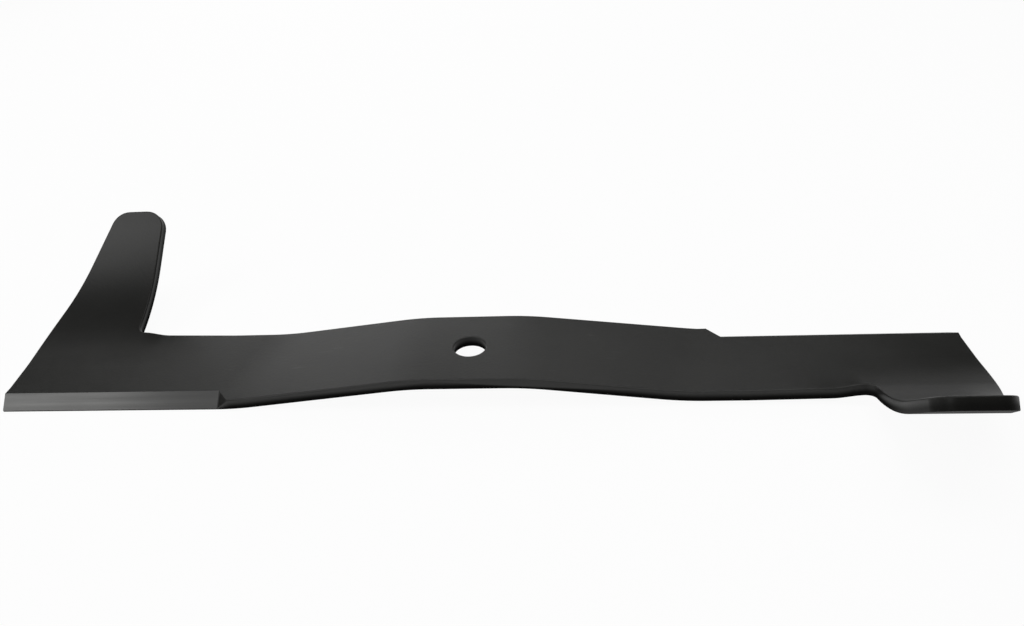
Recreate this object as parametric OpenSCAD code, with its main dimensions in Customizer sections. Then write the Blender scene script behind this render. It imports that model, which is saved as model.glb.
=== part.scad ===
// Rotary mower blade: one bar of flat spring steel, pressed to shape, bored and ground.
// Millimetres, +Z up. The spindle axis is Z and the two cutting edges lie on Z = 0.
// The blade is the same after half a turn about Z, so one arm is drawn and used twice.

/* [Plate] */

// Length over both ends
blade_length = 550; // [500:1:600]
// Width of the bar
blade_width = 62; // [56:1:68]
// Thickness of the plate
plate_t = 6.5; // [5:0.1:8]

/* [Hub and bends] */

// Diameter of the spindle bore
bore_d = 18.5; // [14:0.5:24]
// Spindle axis to the middle of the bend at the hub
hub_bend = 32; // [28:1:40]
// Slope of the arm between the hub and its end
ramp_angle = 7; // [5:0.1:9]
// Spindle axis to the middle of the outer bend, at the cutting side
end_bend = 136; // [126:1:142]
// How far a bend runs to each side of its middle
bend_run = 12; // [8:1:16]
// Rise of the end towards its back
end_pitch = 2.4; // [1:0.1:3.4]

/* [Cutting edge] */

// Width of the ground bevel
bevel_w = 9; // [7:0.5:12]
// Height of the flat left on the cutting edge
edge_land = 0.8; // [0.4:0.1:1.5]
// Spindle axis to the inner end of the cutting edge
bevel_start = 144; // [138:0.5:152]
// How far the grinding runs out towards the hub, from the bevel up to the upper face
bevel_runout = 7; // [4:0.5:10]

/* [Wing] */

// Width of the wing at its root
wing_root = 62; // [54:0.5:68]
// Length of the wing along its face, from the back of the bar to the tip
wing_reach = 85.5; // [80:0.5:95]
// Taper of the wing's outer side
wing_taper = 20.5; // [16:0.5:26]
// Where the taper starts, measured from the back of the bar
taper_from = -3; // [-6:0.5:4]
// How far the taper is eased to each side of its start
taper_ease = 19; // [10:1:24]
// Lean of the wing's inner side towards the hub
wing_lean = 2.5; // [0:0.5:6]
// Radius of the two corners at the tip
wing_corner_r = 12; // [8:0.5:14]
// Radius in the notch between the wing and the bar
notch_r = 4; // [3:0.5:8]
// How far in front of the bar's back the wing starts to curl
curl_start = 29; // [22:1:34]
// Radius of the curl on its upper face
curl_r = 112; // [100:1:130]
// Angle the wing is curled through
curl_angle = 40.5; // [34:0.5:46]
// How far the curl dies out along the back of the bar
curl_fade = 22; // [16:1:36]

/* [Hidden] */

arm_length = blade_length / 2;
half_w = blade_width / 2;

// Heights: the underside of the end meets Z = 0 along its cutting edge
lead_top = plate_t * cos(end_pitch);
end_drop = tan(ramp_angle) * (end_bend - hub_bend);
hub_top = lead_top + end_drop;
hub_half = hub_bend - bend_run;
blend_h = tan(ramp_angle) * bend_run;

// The outer bend runs aslant, because the end rises towards its back
back_rise = tan(end_pitch) * blade_width;
back_bend = end_bend - back_rise / tan(ramp_angle);
slant_from = back_bend - bend_run - 1;
slant_to = end_bend + bend_run + 1;

// Outline of the wing laid flat: distances s are taken from the back of the bar
inner_root = arm_length - wing_root;
outer_root = arm_length + tan(wing_taper) * taper_from;
notch_s = notch_r * (1 + sin(wing_lean));
notch_u = inner_root - tan(wing_lean) * notch_r - notch_r / cos(wing_lean);
corner_s = wing_reach - wing_corner_r;
corner_in = inner_root - tan(wing_lean) * corner_s + wing_corner_r / cos(wing_lean);
corner_out = outer_root - tan(wing_taper) * corner_s - wing_corner_r / cos(wing_taper);

// The curl
curl_v = half_w - curl_start;
root_angle = asin(curl_start / curl_r);
curl_s = curl_r * (curl_angle - root_angle) * PI / 180;
fade_from = notch_u - curl_fade;

// Stations along the arm, across the bar and along the wing
hub_steps = 6;
slant_steps = 14;
fade_steps = 7;
flat_steps = 3;
back_steps = 8;
notch_steps = 6;
curl_steps = 12;
corner_steps = 9;
u_stations = concat(
    [for (i = [0:hub_steps]) hub_half + 2 * bend_run * i / hub_steps],
    [for (i = [0:slant_steps]) slant_from + (slant_to - slant_from) * i / slant_steps],
    [for (i = [0:fade_steps]) fade_from + (notch_u - fade_from) * i / fade_steps],
    [arm_length]
);
v_stations = concat(
    [for (j = [0:flat_steps - 1]) -half_w + (curl_v + half_w) * j / flat_steps],
    [for (j = [0:back_steps]) curl_v + curl_start * j / back_steps]
);
s_stations = concat(
    [for (k = [1:notch_steps]) notch_s * (1 - cos(90 * k / notch_steps))],
    [for (k = [1:curl_steps]) notch_s + (curl_s - notch_s) * k / curl_steps],
    [for (k = [0:corner_steps]) corner_s + wing_corner_r * sin(corner_turn(k))]
);
last_u = len(u_stations) - 1;
last_v = len(v_stations) - 1;
last_s = len(s_stations) - 1;
bar_count = (last_u + 1) * (last_v + 1);
top_count = bar_count + 2 * (last_s + 1);

// Angle round the tip's corner, from where the inner side meets it to the tip
function corner_turn(k) = -wing_lean + (90 + wing_lean) * k / corner_steps;

// Zero, then a parabola over the distance e to each side, then a straight line
function eased(r, e) = r <= -e ? 0 : r >= e ? r : pow(r + e, 2) / (4 * e);
function held(x) = min(max(x, 0), 1);

// Heights of the upper face at u along the arm and v towards the back
function fade(u) = let (f = held((u - fade_from) / curl_fade)) f * f * (3 - 2 * f);
function curl_turn(v) = v <= curl_v ? 0 : asin((v - curl_v) / curl_r);
function ramp_z(u) = hub_top - tan(ramp_angle) * eased(u - hub_bend, bend_run);
function plane_z(v) = lead_top + tan(end_pitch) * (v + half_w);
function end_z(u, v) = plane_z(v) + fade(u) * curl_r * (1 - cos(curl_turn(v)));
function rise(u, v) = end_z(u, v) - ramp_z(u);
function blended(r) = pow(max(blend_h - abs(r), 0), 2) / (4 * blend_h);
function top_z(u, v) = ramp_z(u) + max(rise(u, v), 0) + blended(rise(u, v));
function end_share(u, v) = held(0.5 + rise(u, v) / (2 * blend_h));
function tilt(u, v) = end_share(u, v) * (end_pitch + fade(u) * curl_turn(v));

// Sides of the wing's outline at s, and the outer end of the bar at v
function outer_u(s) = arm_length - tan(wing_taper) * eased(s - taper_from, taper_ease);
function round_u(s) = sqrt(max(pow(wing_corner_r, 2) - pow(s - corner_s, 2), 0));
function notch_in(s) = notch_u + sqrt(max(pow(notch_r, 2) - pow(s - notch_r, 2), 0));
function wing_in(s) =
    s < notch_s ? notch_in(s) :
    s < corner_s - wing_corner_r * sin(wing_lean) ? inner_root - tan(wing_lean) * s :
    corner_in - round_u(s);
function wing_out(s) =
    s < corner_s + wing_corner_r * sin(wing_taper) ? outer_u(s) : corner_out + round_u(s);
function station_u(i, v) = i < last_u ? u_stations[i] : outer_u(v - half_w);

// The wing's place in section at s
function wing_turn(s) = root_angle + min(s, curl_s) / curl_r * 180 / PI;
function wing_v(s) = curl_v + curl_r * sin(wing_turn(s)) + max(s - curl_s, 0) * cos(curl_angle);
function wing_h(s) = curl_r * (1 - cos(wing_turn(s))) + max(s - curl_s, 0) * sin(curl_angle);

// A point of the sheet: depth 0 on the upper face, plate_t on the underside
function sheet(u, v, z, turn, depth) = [u, -v - depth * sin(turn), z - depth * cos(turn)];
function bar_point(u, v, depth) = sheet(u, v, top_z(u, v), tilt(u, v), depth);
function wing_point(u, s, depth) =
    sheet(u, wing_v(s), plane_z(wing_v(s)) + wing_h(s), end_pitch + wing_turn(s), depth);
function arm_points(depth) = concat(
    [for (i = [0:last_u]) for (v = v_stations) bar_point(station_u(i, v), v, depth)],
    [for (s = s_stations) for (u = [wing_in(s), wing_out(s)]) wing_point(u, s, depth)]
);

// Numbers of the points: across the bar, and at the wing's two sides
function bar_at(i, j) = i * (last_v + 1) + j;
function in_at(k) = k == 0 ? bar_at(last_u - 1, last_v) : bar_count + 2 * (k - 1);
function out_at(k) = k == 0 ? bar_at(last_u, last_v) : bar_count + 2 * (k - 1) + 1;

// Faces from four corners of the upper face, from its underside, and from one of its borders
function upper(a, b, c, d) = [[a, b, c], [a, c, d]];
function under(a, b, c, d) = let (n = top_count) [[c + n, b + n, a + n], [d + n, c + n, a + n]];
function wall(a, b) = let (n = top_count) [[a, b, b + n], [a, b + n, a + n]];
function both(a, b, c, d) = concat(upper(a, b, c, d), under(a, b, c, d));
function bar_cell(i, j) =
    both(bar_at(i, j), bar_at(i + 1, j), bar_at(i + 1, j + 1), bar_at(i, j + 1));
function wing_cell(k) = both(in_at(k), out_at(k), out_at(k + 1), in_at(k + 1));
function arm_faces() = concat(
    [for (i = [0:last_u - 1]) for (j = [0:last_v - 1]) for (f = bar_cell(i, j)) f],
    [for (k = [0:last_s]) for (f = wing_cell(k)) f],
    [for (i = [0:last_u - 1]) for (f = wall(bar_at(i + 1, 0), bar_at(i, 0))) f],
    [for (i = [0:last_u - 2]) for (f = wall(bar_at(i, last_v), bar_at(i + 1, last_v))) f],
    [for (j = [0:last_v - 1]) for (f = wall(bar_at(0, j), bar_at(0, j + 1))) f],
    [for (j = [0:last_v - 1]) for (f = wall(bar_at(last_u, j + 1), bar_at(last_u, j))) f],
    [for (k = [0:last_s]) for (f = wall(in_at(k), in_at(k + 1))) f],
    [for (k = [0:last_s]) for (f = wall(out_at(k + 1), out_at(k))) f],
    wall(in_at(last_s + 1), out_at(last_s + 1))
);

// Grinding wedge over the cutting edge, whose inner end slopes up towards the hub
cut_over = 8;
bevel_top = plane_z(bevel_w - half_w);
bevel_fall = (bevel_top - edge_land) / bevel_w;
cut_in = half_w - bevel_w - cut_over;
cut_out = half_w + cut_over;
function bevel_z(y) = bevel_top - bevel_fall * (y - half_w + bevel_w);
runout_slope = bevel_runout / (lead_top - edge_land);
function cut_end(y, z) = bevel_start - runout_slope * (z - bevel_z(y));
cut_section = [
    [cut_in, bevel_z(cut_in)],
    [cut_out, bevel_z(cut_out)],
    [cut_out, bevel_z(cut_in)]
];
cut_points = concat(
    [for (p = cut_section) [cut_end(p[0], p[1]), p[0], p[1]]],
    [for (p = cut_section) [arm_length + cut_over, p[0], p[1]]]
);
cut_faces = [[0, 1, 2], [5, 4, 3], [0, 3, 4, 1], [1, 4, 5, 2], [2, 5, 3, 0]];

// Sub-part to show

module hub_plate() {
    translate([-hub_half, -half_w, hub_top - plate_t])
        cube([2 * hub_half, blade_width, plate_t]);
}

module arm() {
    polyhedron(points = concat(arm_points(0), arm_points(plate_t)), faces = arm_faces(), convexity = 6);
}

module bevel_cut() {
    polyhedron(points = cut_points, faces = cut_faces, convexity = 2);
}

module spindle_bore() {
    translate([0, 0, hub_top - 2 * plate_t])
        cylinder(d = bore_d, h = 3 * plate_t, $fn = 96);
}

module blade() {
    color([0.22, 0.22, 0.21])
    difference() {
        union() {
            hub_plate();
            arm();
            rotate([0, 0, 180]) arm();
        }
        spindle_bore();
        bevel_cut();
        rotate([0, 0, 180]) bevel_cut();
    }
}

blade();
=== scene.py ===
import math

import bpy
from mathutils import Matrix, Vector
from mathutils.kdtree import KDTree


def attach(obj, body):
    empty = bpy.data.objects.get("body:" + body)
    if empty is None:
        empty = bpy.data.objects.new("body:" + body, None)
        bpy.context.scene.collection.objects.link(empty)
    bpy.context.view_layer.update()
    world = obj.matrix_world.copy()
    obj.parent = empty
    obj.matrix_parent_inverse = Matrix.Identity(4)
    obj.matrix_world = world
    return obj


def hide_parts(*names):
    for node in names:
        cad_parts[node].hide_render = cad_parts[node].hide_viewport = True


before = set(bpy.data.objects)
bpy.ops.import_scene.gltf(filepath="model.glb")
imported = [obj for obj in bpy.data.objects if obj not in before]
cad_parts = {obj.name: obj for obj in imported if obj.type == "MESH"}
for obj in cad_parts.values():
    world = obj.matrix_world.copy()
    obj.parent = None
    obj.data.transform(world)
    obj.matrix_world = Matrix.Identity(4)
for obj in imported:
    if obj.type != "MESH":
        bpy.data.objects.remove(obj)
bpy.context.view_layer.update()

# The blade: one bar of flat spring steel, pressed hot so that each arm steps down and its wing curls up.
# It is sheared and punched from one side, which rolls over the upper edges and leaves the lower ones
# crisp, and the whole bar is then dipped in satin black paint.
HALF_WIDTH = 0.031
PLATE = 0.0065
END = 0.275
ARMS = (-1.0, 1.0)
SAME_PLACE = 0.000005

bpy.ops.object.select_all(action="DESELECT")
blade = bpy.data.objects.new("pressed_blade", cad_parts["blade"].data.copy())
bpy.context.collection.objects.link(blade)
blade.select_set(True)
bpy.context.view_layer.objects.active = blade
mesh = blade.data


def arm_of(place):
    """1 for a place on the right arm, and -1 on the left one, which is the same arm after half a turn."""
    return math.copysign(1.0, place.x)


def cut_across(x):
    """Cuts through the whole bar, square to its length."""
    bpy.ops.mesh.select_all(action="SELECT")
    bpy.ops.mesh.bisect(plane_co=(x, 0.0, 0.0), plane_no=(1.0, 0.0, 0.0))


# the curl of the wing dies out along the back of the bar in two stages, a long low tail and a short run just
# before the notch, where the solid has a single run; columns are cut in for both
END_PITCH = math.radians(2.4)
LEAD_TOP = PLATE * math.cos(END_PITCH)
CURL_START = 0.029
CURL_RADIUS = 0.112
CURL_ANGLE = math.radians(40.5)
NOTCH = 0.20882
SOLID_FADE = 0.022
SOLID_COLUMNS = 7
FADE_COLUMNS = 5
SHORT_FADE = SOLID_FADE * FADE_COLUMNS / SOLID_COLUMNS
TAIL_START = 0.150
TAIL_SHARE = 0.4
FLAT_ANGLE = math.radians(0.08)

bpy.ops.object.mode_set(mode="EDIT")
bpy.ops.mesh.select_all(action="SELECT")
bpy.ops.mesh.remove_doubles(threshold=SAME_PLACE)
for i in range(FADE_COLUMNS):
    for arm in ARMS:
        cut_across(arm * (NOTCH - SHORT_FADE * (i + 0.5) / FADE_COLUMNS))
for arm in ARMS:
    cut_across(arm * TAIL_START)
bpy.ops.object.mode_set(mode="OBJECT")


def faded(out, run):
    """The share of the curl left at a distance from the spindle axis, 1 at the notch."""
    share = min(max((out - NOTCH + run) / run, 0.0), 1.0)
    return share * share * (3 - 2 * share)


def curl_turn(back):
    """The angle of the curl at a distance towards the back."""
    return math.asin(min(max((back - HALF_WIDTH + CURL_START) / CURL_RADIUS, 0.0), math.sin(CURL_ANGLE)))


for corner in mesh.vertices:
    arm = arm_of(corner.co)
    out, back = abs(corner.co.x), -arm * corner.co.y
    if not TAIL_START < out < NOTCH or back < HALF_WIDTH - CURL_START:
        continue
    solid = faded(out, SOLID_FADE)
    tail = (out - TAIL_START) / (NOTCH - TAIL_START)
    staged = TAIL_SHARE * tail + (1 - TAIL_SHARE) * faded(out, SHORT_FADE)
    rise = CURL_RADIUS * (1 - math.cos(curl_turn(back)))
    upper_face = LEAD_TOP + math.tan(END_PITCH) * (back + HALF_WIDTH) + solid * rise
    depth = PLATE if corner.co.z < upper_face - PLATE / 2 else 0.0
    turn = curl_turn(back - depth * math.sin(END_PITCH + solid * curl_turn(back)))
    lean_from, lean_to = END_PITCH + solid * turn, END_PITCH + staged * turn
    corner.co.y -= arm * depth * (math.sin(lean_to) - math.sin(lean_from))
    corner.co.z += (staged - solid) * CURL_RADIUS * (1 - math.cos(turn))
    corner.co.z -= depth * (math.cos(lean_to) - math.cos(lean_from))

bpy.ops.object.mode_set(mode="EDIT")
bpy.ops.mesh.select_all(action="SELECT")
bpy.ops.mesh.dissolve_limited(angle_limit=FLAT_ANGLE)
bpy.ops.object.mode_set(mode="OBJECT")

# the rolled upper edges taper out towards the ground steel, so the bar is cut there in small steps
ROLL_TAPER = 0.0054
TAPER_STEPS = 6
RUNOUT_CORNER = 0.137
BEVEL_TOP = 0.022

for i in range(TAPER_STEPS):
    step = ROLL_TAPER * i / TAPER_STEPS
    for arm in ARMS:
        bpy.ops.object.mode_set(mode="EDIT")
        cut_across(arm * (RUNOUT_CORNER - step))
        bpy.ops.mesh.select_all(action="DESELECT")
        bpy.ops.object.mode_set(mode="OBJECT")
        for face in mesh.polygons:
            face.select = arm * face.center.x > RUNOUT_CORNER and arm * face.center.y > -BEVEL_TOP
        bpy.ops.object.mode_set(mode="EDIT")
        bpy.ops.mesh.bisect(plane_co=(0.0, arm * (BEVEL_TOP - step), 0.0), plane_no=(0.0, 1.0, 0.0))
        bpy.ops.object.mode_set(mode="OBJECT")

# the outer corner of each cutting edge is dressed back a little
DRESSED_BACK = 0.0012
END_REACH = 0.0001

for corner in mesh.vertices:
    arm = arm_of(corner.co)
    forward = (arm * corner.co.y - BEVEL_TOP) / (HALF_WIDTH - BEVEL_TOP)
    if abs(corner.co.x) > END - END_REACH and forward > 0.0:
        corner.co.x -= arm * DRESSED_BACK * forward

# the faces are sorted into paint, ground bevel and sheared side
PAINTED, GROUND, SHEARED = 0, 1, 2
BEVEL_START = 0.134
BEVEL_FOOT = 0.021
BEVEL_TILT = math.radians(34.0)
BEVEL_SPREAD = math.radians(4)
RUNOUT_LEAN = 0.3
SIDE_SLOPE = 0.5


def at_cutting_edge(face):
    """Whether a face lies where a cutting edge is ground."""
    return abs(face.center.x) > BEVEL_START and arm_of(face.center) * face.center.y > BEVEL_FOOT


def is_bevel(face):
    """Whether a face is one of the two bevels."""
    bevel_way = Vector((0.0, arm_of(face.center) * math.sin(BEVEL_TILT), math.cos(BEVEL_TILT)))
    return at_cutting_edge(face) and face.normal.angle(bevel_way) < BEVEL_SPREAD


def is_runout(face):
    """Whether a face is the short wall where the grinding stops."""
    leans_out = arm_of(face.center) * face.normal.x > RUNOUT_LEAN
    return at_cutting_edge(face) and leans_out and face.normal.z > RUNOUT_LEAN


def is_side(face):
    """Whether a face is the sheared side of the plate, and not its upper face or its underside."""
    arm = arm_of(face.center)
    turn = curl_turn(-arm * face.center.y) if abs(face.center.x) > NOTCH else 0.0
    plate_way = Vector((0.0, arm * math.sin(turn), math.cos(turn)))
    return abs(face.normal.dot(plate_way)) < SIDE_SLOPE


mesh.materials.clear()
for kind in (PAINTED, GROUND, SHEARED):
    mesh.materials.append(None)
for face in mesh.polygons:
    face.material_index = GROUND if is_bevel(face) else SHEARED if is_side(face) else PAINTED

# the edges are rolled over above, crisp below and between two sides, and sharp where they are ground
ROLLED_EDGE = 0.0009
CRISP_EDGE = 0.0004
ROLL_SEGMENTS = 4
CORNER_ANGLE = math.radians(28)
FACES_DOWN = -0.5
FLATNESS_WEIGHT = 60


def search_tree(corners):
    """A search tree over some of the blade's corners."""
    found = KDTree(len(corners))
    for i in corners:
        found.insert(mesh.vertices[i].co, i)
    found.balance()
    return found


ground_faces = [face for face in mesh.polygons if is_bevel(face) or is_runout(face)]
ground_corners = search_tree({i for face in ground_faces for i in face.vertices})


def edge_round(place, faces):
    """How far an edge of the blade is rounded: 0 where the steel runs on smoothly or is ground."""
    if len(faces) != 2 or faces[0].normal.angle(faces[1].normal) < CORNER_ANGLE:
        return 0.0
    if any(is_bevel(face) or is_runout(face) for face in faces):
        return 0.0
    between_sides = all(face.material_index == SHEARED for face in faces)
    if between_sides or min(face.normal.z for face in faces) < FACES_DOWN:
        return CRISP_EDGE
    return ROLLED_EDGE * min(ground_corners.find(place)[2] / ROLL_TAPER, 1.0)


weights = mesh.attributes.new("bevel_weight_edge", "FLOAT", "EDGE")
beside = {edge.key: [] for edge in mesh.edges}
for face in mesh.polygons:
    for key in face.edge_keys:
        beside[key].append(face)
for edge in mesh.edges:
    middle = sum((mesh.vertices[i].co for i in edge.vertices), Vector()) / 2
    weights.data[edge.index].value = edge_round(middle, beside[edge.key]) / ROLLED_EDGE

rolled = blade.modifiers.new("rolled_edges", "BEVEL")
rolled.limit_method = "WEIGHT"
rolled.width = ROLLED_EDGE
rolled.segments = ROLL_SEGMENTS
rolled.material = SHEARED
rolled.loop_slide = False
rolled.use_clamp_overlap = False
bpy.ops.object.modifier_apply(modifier=rolled.name)
bpy.ops.object.shade_smooth_by_angle(angle=CORNER_ANGLE)
even = blade.modifiers.new("flat_faces", "WEIGHTED_NORMAL")
even.keep_sharp = True
even.weight = FLATNESS_WEIGHT
bpy.ops.object.modifier_apply(modifier=even.name)

# the paint reads how far down the sheared side a corner of a face lies: 0 at the rolled edge and all over the
# upper face, 1 at the foot of the side, and 2 all over the underside
UPPER_FACE, UNDERSIDE = 0.0, 2.0
LEAST_DEPTH = 0.00001


def side_border(upwards):
    """The corners where the sheared side meets the upper face, or the underside."""
    side = {i for face in mesh.polygons if face.material_index == SHEARED for i in face.vertices}
    flats = [face for face in mesh.polygons if face.material_index != SHEARED]
    return search_tree({i for face in flats if (face.normal.z > 0) == upwards for i in face.vertices} & side)


upper, lower = side_border(True), side_border(False)
side_depth = mesh.attributes.new("side_depth", "FLOAT", "CORNER")
for face in mesh.polygons:
    for i, corner in zip(face.vertices, face.loop_indices):
        if face.material_index == SHEARED:
            below, above = upper.find(mesh.vertices[i].co)[2], lower.find(mesh.vertices[i].co)[2]
            side_depth.data[corner].value = below / max(below + above, LEAST_DEPTH)
        else:
            side_depth.data[corner].value = UNDERSIDE if face.normal.z < 0 else UPPER_FACE


class Finish:
    """A socket of a material's nodes; an expression on these adds its Math nodes."""

    def __init__(self, tree, socket=None):
        self.tree = tree
        self.socket = socket

    def node(self, kind, settings=None, sockets=None, output=0):
        """A node with its settings, and the values or links of its sockets; gives one of its outputs."""
        made = self.tree.nodes.new(kind)
        for name, value in (settings or {}).items():
            setattr(made, name, value)
        for name, value in (sockets or {}).items():
            if isinstance(value, Finish):
                self.tree.links.new(value.socket, made.inputs[name])
            else:
                made.inputs[name].default_value = value
        return Finish(self.tree, made.outputs[output]) if len(made.outputs) else None

    def math(self, operation, *values):
        return self.node("ShaderNodeMath", {"operation": operation}, dict(enumerate(values)))

    def between(self, low, high):
        """A smooth ramp from 0 where this value is low to 1 where it is high."""
        return self.node(
            "ShaderNodeMapRange",
            {"interpolation_type": "SMOOTHSTEP"},
            {"Value": self, "From Min": low, "From Max": high},
        )

    def mixed(self, first, second):
        """The first colour where this mask is 0, and the second where it is 1."""
        # the Mix node's colours are its inputs 6 and 7 and its output 2
        return self.node("ShaderNodeMix", {"data_type": "RGBA"}, {0: self, 6: first, 7: second}, output=2)

    def noise(self, scale, detail=3.0, roughness=0.5):
        """Noise at this place, with so many waves to the metre."""
        return self.node(
            "ShaderNodeTexNoise",
            {"noise_dimensions": "3D"},
            {"Vector": self, "Scale": scale, "Detail": detail, "Roughness": roughness},
        )

    def stretched(self, share):
        """This place drawn out along the blade's length."""
        return self.node("ShaderNodeMapping", None, {"Vector": self, "Scale": (share, 1.0, 1.0)})

    def part(self, axis):
        """This place's distance along an axis."""
        return self.node("ShaderNodeSeparateXYZ", None, {"Vector": self}, output=axis)

    def __add__(self, other):
        return self.math("ADD", self, other)

    def __sub__(self, other):
        return self.math("SUBTRACT", self, other)

    def __rsub__(self, other):
        return self.math("SUBTRACT", other, self)

    def __mul__(self, other):
        return self.math("MULTIPLY", self, other)

    def __abs__(self):
        return self.math("ABSOLUTE", self)

    __radd__ = __add__
    __rmul__ = __mul__


def new_finish(name):
    """An empty material, and the tree that its nodes go in."""
    material = bpy.data.materials.new(name)
    material.use_nodes = True
    material.node_tree.nodes.clear()
    return material, Finish(material.node_tree)


def shown(tree, shader):
    """Makes a shader the material's surface."""
    tree.node("ShaderNodeOutputMaterial", None, {"Surface": shader})


# the paint's tones, from its deep coat to the painted highlight on the wing tips and rolled edges, and the
# dark colour of its painted shade
PAINT_DEEP = (0.0125, 0.0125, 0.0114, 1)
PAINT_PALE = (0.0170, 0.0170, 0.0156, 1)
PAINT_RUBBED = (0.0400, 0.0397, 0.0380, 1)
PAINT_HIGHLIGHT = (0.0560, 0.0557, 0.0540, 1)
PAINTED_SHADE_COLOUR = (0.0100, 0.0100, 0.0095, 1)
CLOUD_WAVES = 26.0
PALE_CLOUDS = (0.3, 0.7)
# rubs run along the bar, in patches
RUB_WAVES = 420.0
RUB_STRETCH = 0.12
RUB_STREAKS = (0.62, 0.78)
RUB_PATCHES = (0.48, 0.66)
RUB_SHARE = 0.5
# painted highlight on the tips, by distance from the middle line, and on the rolled edges, by depth down the
# side
TIP_HIGHLIGHT_REACH = (0.074, 0.102)
TIP_HIGHLIGHT_RAGGED = 0.012
ROLL_HIGHLIGHT_DEPTH = (0.0, 0.1)
ROLL_HIGHLIGHT_ENDS = (0.032, 0.042)
# painted shade, a dark matt paint: the foot of the sides, less so on the tips, the root of each curl, and the
# underside
FOOT_SHADE = (0.15, 0.75)
TIP_SIDE = (0.05, 0.08)
TIP_SIDE_SATIN = 0.3
CURL_SHADE_STARTS = (0.014, 0.034)
CURL_SHADE_ENDS = (0.058, 0.078)
CURL_SHADE_OUT = (0.17, 0.20)
CURL_SHADE = 0.3
UNDERSIDE_STARTS = (1.2, 1.8)
UNDERSIDE_SHADE = 0.7
# gloss, and a slight orange peel with fine grit
PEEL_WAVES = 620.0
GRIT_WAVES = 2600.0
SATIN_ROUGHNESS = 0.33
CLOUDS_ROUGHEN = 0.06
GRIT_ROUGHENS = 0.04
RUBS_POLISH = 0.1
SATIN_SPECULAR = 0.18
GRIT_HEIGHT = 0.35
PEEL_STRENGTH = 0.16
PEEL_DEPTH = 0.00025

paint, tree = new_finish("satin_black_paint")
place = tree.node("ShaderNodeTexCoord", output="Object")
outward = abs(place.part("X"))
across = abs(place.part("Y"))
back = tree.math("SIGN", place.part("X")) * place.part("Y") * -1.0
down = tree.node("ShaderNodeAttribute", {"attribute_name": "side_depth"}, output="Fac")
clouds = place.noise(CLOUD_WAVES, detail=4.0, roughness=0.55)
peel = place.noise(PEEL_WAVES, detail=2.0)
grit = place.noise(GRIT_WAVES, detail=2.0)
rubs = place.stretched(RUB_STRETCH).noise(RUB_WAVES, roughness=0.6)

rub_mask = rubs.between(*RUB_STREAKS) * clouds.between(*RUB_PATCHES) * RUB_SHARE
# the wing tips and the top of the sheared sides get a painted highlight, a lighter paint tone where light
# catches them
off_side = 1 - down.between(*ROLL_HIGHLIGHT_DEPTH)
tip_highlight_mask = (across + clouds * TIP_HIGHLIGHT_RAGGED).between(*TIP_HIGHLIGHT_REACH) * off_side
roll_highlight_mask = down.between(*ROLL_HIGHLIGHT_DEPTH) * (1 - across.between(*ROLL_HIGHLIGHT_ENDS))
shade = clouds.between(*PALE_CLOUDS).mixed(PAINT_DEEP, PAINT_PALE)
shade = rub_mask.mixed(shade, PAINT_RUBBED)
shade = (tip_highlight_mask + roll_highlight_mask).mixed(shade, PAINT_HIGHLIGHT)
gloss = SATIN_ROUGHNESS + clouds * CLOUDS_ROUGHEN + grit * GRIT_ROUGHENS - rub_mask * RUBS_POLISH
relief = tree.node(
    "ShaderNodeBump",
    None,
    {"Height": peel + grit * GRIT_HEIGHT, "Strength": PEEL_STRENGTH, "Distance": PEEL_DEPTH},
)
satin = tree.node(
    "ShaderNodeBsdfPrincipled",
    None,
    {"Base Color": shade, "Roughness": gloss, "Specular IOR Level": SATIN_SPECULAR, "Normal": relief},
)
# painted shade: a dark matt paint is mixed in at the foot of the sides, at the root of each curl and on the
# underside, to darken them
matt = tree.node("ShaderNodeBsdfDiffuse", None, {"Color": PAINTED_SHADE_COLOUR, "Normal": relief})
foot_shade_mask = down.between(*FOOT_SHADE) * (1 - across.between(*TIP_SIDE) * TIP_SIDE_SATIN)
curl_shade_mask = back.between(*CURL_SHADE_STARTS) * (1 - back.between(*CURL_SHADE_ENDS))
curl_shade_mask = curl_shade_mask * outward.between(*CURL_SHADE_OUT) * CURL_SHADE
under_shade_mask = down.between(*UNDERSIDE_STARTS) * UNDERSIDE_SHADE
painted_shade_share = tree.math("MAXIMUM", tree.math("MAXIMUM", foot_shade_mask, curl_shade_mask), under_shade_mask)
shown(tree, tree.node("ShaderNodeMixShader", None, {0: painted_shade_share, 1: satin, 2: matt}))

# The ground bevel: the plate's own steel, bared where a wheel cuts the edge to an angle after painting.
# The wheel runs along the edge, so its lines do too, and the steel is drawn paler towards the outer part of
# the edge.
STEEL_DARK = (0.068, 0.068, 0.067, 1)
STEEL_PALE = (0.146, 0.146, 0.143, 1)
STEEL_METALLIC = 0.7
LINE_WAVES = 900.0
BAND_WAVES = 260.0
PATCH_WAVES = 60.0
LINE_STRETCH = 0.02
PALING_REACH = (0.150, 0.225)
PALING_TONE = 0.6
BAND_TONE = 0.6
PATCH_TONE = 0.2
TONE_DROP = 0.3
STEEL_ROUGHNESS = 0.38
LINES_ROUGHEN = 0.16
PATCHES_ROUGHEN = 0.06
LINE_STRENGTH = 0.25
LINE_DEPTH = 0.00012

ground, tree = new_finish("ground_steel")
place = tree.node("ShaderNodeTexCoord", output="Object")
lines = place.stretched(LINE_STRETCH).noise(LINE_WAVES, detail=4.0, roughness=0.6)
bands = place.stretched(LINE_STRETCH).noise(BAND_WAVES, detail=2.0)
patches = place.noise(PATCH_WAVES)
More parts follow.
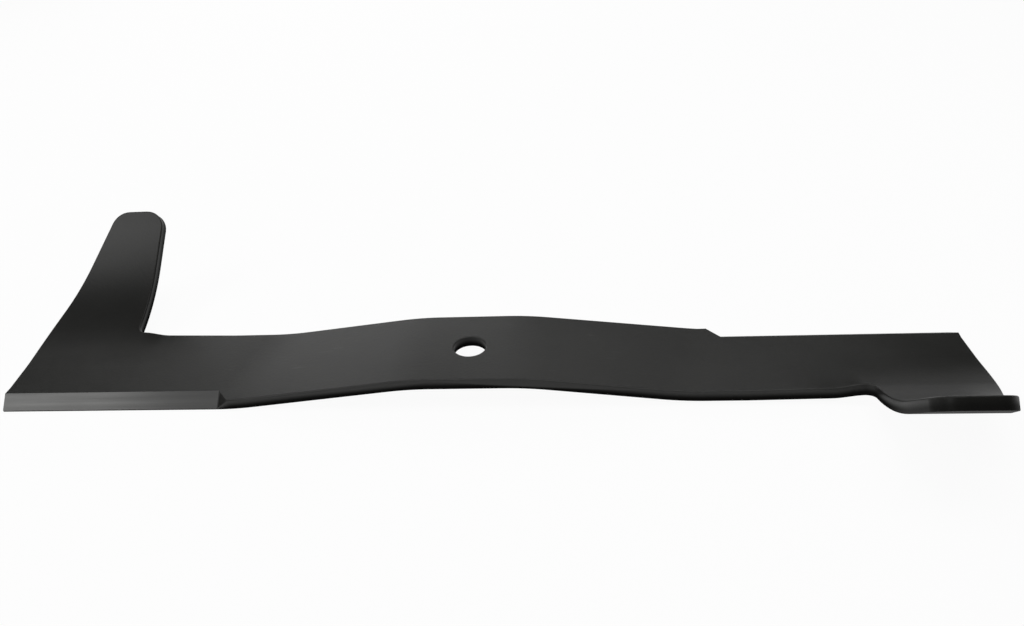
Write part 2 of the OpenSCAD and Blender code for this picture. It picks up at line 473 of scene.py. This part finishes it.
# the steel is drawn paler towards the outer end of each arm
outward_paling = abs(place.part("X")).between(*PALING_REACH)
tone = outward_paling * PALING_TONE + bands * BAND_TONE + patches * PATCH_TONE - TONE_DROP
shade = tone.between(0.0, 1.0).mixed(STEEL_DARK, STEEL_PALE)
gloss = STEEL_ROUGHNESS + lines * LINES_ROUGHEN + patches * PATCHES_ROUGHEN
relief = tree.node(
    "ShaderNodeBump",
    None,
    {"Height": lines, "Strength": LINE_STRENGTH, "Distance": LINE_DEPTH},
)
steel = tree.node(
    "ShaderNodeBsdfPrincipled",
    None,
    {"Base Color": shade, "Metallic": STEEL_METALLIC, "Roughness": gloss, "Normal": relief},
)
shown(tree, steel)

mesh.materials[PAINTED] = paint
mesh.materials[GROUND] = ground
for face in mesh.polygons:
    face.material_index = GROUND if face.material_index == GROUND else PAINTED
mesh.materials.pop(index=SHEARED)

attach(blade, "root")
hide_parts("blade")

# The studio: a round white table whose rim sweeps up into a low wall, so that no horizon shows, under soft
# boxes. It looks white to the camera and in reflections, and still takes the blade's shadow.
TABLE_RADIUS = 10.0
TABLE_CORNERS = 96
RIM_SWEEP = ((11.0, 0.05), (11.6, 0.22), (11.9, 0.62), (12.0, 1.46))
RIM_SMOOTH = math.radians(60)
TABLE_WHITE = (0.82, 0.82, 0.82, 1)
GLOW_WHITE = (1, 1, 1, 1)
GLOW_SHARE = 0.95
WORLD_LIGHT = 0.02
LAMP_DISTANCE = 1.4

bpy.ops.object.select_all(action="DESELECT")
bpy.ops.mesh.primitive_circle_add(vertices=TABLE_CORNERS, radius=TABLE_RADIUS, fill_type="NGON")
floor = bpy.context.object
floor.name = "table"
bpy.ops.object.mode_set(mode="EDIT")
bpy.ops.mesh.select_all(action="SELECT")
bpy.ops.mesh.select_mode(type="EDGE")
radius, height = TABLE_RADIUS, 0.0
for rim_radius, rim_height in RIM_SWEEP:
    grow = rim_radius / radius
    bpy.ops.mesh.extrude_edges_move(TRANSFORM_OT_translate={"value": (0.0, 0.0, rim_height - height)})
    bpy.ops.transform.resize(value=(grow, grow, 1.0), center_override=(0.0, 0.0, 0.0))
    radius, height = rim_radius, rim_height
bpy.ops.mesh.select_all(action="SELECT")
bpy.ops.mesh.normals_make_consistent(inside=False)
bpy.ops.object.mode_set(mode="OBJECT")
bpy.ops.object.shade_smooth_by_angle(angle=RIM_SMOOTH)

white, tree = new_finish("table_white")
seen = tree.node("ShaderNodeLightPath", output="Is Camera Ray")
for ray in ("Is Glossy Ray", "Is Transmission Ray"):
    seen = seen + tree.node("ShaderNodeLightPath", output=ray)
glow_share = tree.math("MINIMUM", seen, 1.0) * GLOW_SHARE
lit = tree.node("ShaderNodeBsdfDiffuse", None, {"Color": TABLE_WHITE})
glow = tree.node("ShaderNodeEmission", None, {"Color": GLOW_WHITE, "Strength": 1.0})
shown(tree, tree.node("ShaderNodeMixShader", None, {0: glow_share, 1: lit, 2: glow}))
floor.data.materials.append(white)


def soft_box(name, turn, height, width, depth, power):
    """An area lamp that faces the hub, turned to the left from straight behind and raised, in degrees."""
    lamp = bpy.data.lights.new(name, "AREA")
    lamp.shape = "RECTANGLE"
    lamp.size = width
    lamp.size_y = depth
    lamp.energy = power
    box = bpy.data.objects.new(name, lamp)
    bpy.context.collection.objects.link(box)
    turn, height = math.radians(turn), math.radians(height)
    away = Vector((-math.sin(turn) * math.cos(height), math.cos(turn) * math.cos(height), math.sin(height)))
    box.location = LAMP_DISTANCE * away
    box.rotation_euler = (-away).to_track_quat("-Z", "Y").to_euler()


soft_box("low_back_left", 22.0, 25.0, 0.80, 0.45, 3.4)
soft_box("back", -12.0, 40.0, 0.80, 0.45, 2.5)
soft_box("left", 50.0, 43.0, 0.75, 0.45, 1.2)
soft_box("front_left", 112.0, 44.0, 0.55, 0.50, 4.8)
soft_box("overhead", 0.0, 89.0, 0.60, 0.60, 5.5)
soft_box("right", -90.0, 65.0, 0.50, 0.50, 3.1)

world = bpy.data.worlds.new("studio")
bpy.context.scene.world = world
world.use_nodes = True
world.node_tree.nodes["Background"].inputs["Color"].default_value = GLOW_WHITE
world.node_tree.nodes["Background"].inputs["Strength"].default_value = WORLD_LIGHT
bpy.context.scene.view_settings.view_transform = "Standard"

# The camera: it stands close in front of the blade, a little to the right of the hub, and looks down on it.
# Its place, turn and lens were fitted to the blade's outline in the photograph.
CAMERA_PLACE = (0.05486, -0.39820, 0.30347)
CAMERA_YAW = math.radians(7.287)
CAMERA_PITCH = math.radians(33.348)
CAMERA_ROLL = math.radians(5.281)
SENSOR_WIDTH = 36.0
FOCAL_LENGTH = 30.382
SHIFT_X, SHIFT_Y = 0.0372, 0.0037
NEAREST = 0.01

lens = bpy.data.cameras.new("camera")
lens.sensor_width = SENSOR_WIDTH
lens.lens = FOCAL_LENGTH
lens.shift_x = SHIFT_X
lens.shift_y = SHIFT_Y
lens.clip_start = NEAREST
camera = bpy.data.objects.new("camera", lens)
bpy.context.collection.objects.link(camera)
turn = Matrix.Rotation(CAMERA_YAW, 3, "Z")
turn = turn @ Matrix.Rotation(math.pi / 2 - CAMERA_PITCH, 3, "X")
turn = turn @ Matrix.Rotation(-CAMERA_ROLL, 3, "Z")
camera.rotation_euler = turn.to_euler()
camera.location = CAMERA_PLACE
bpy.context.scene.camera = camera
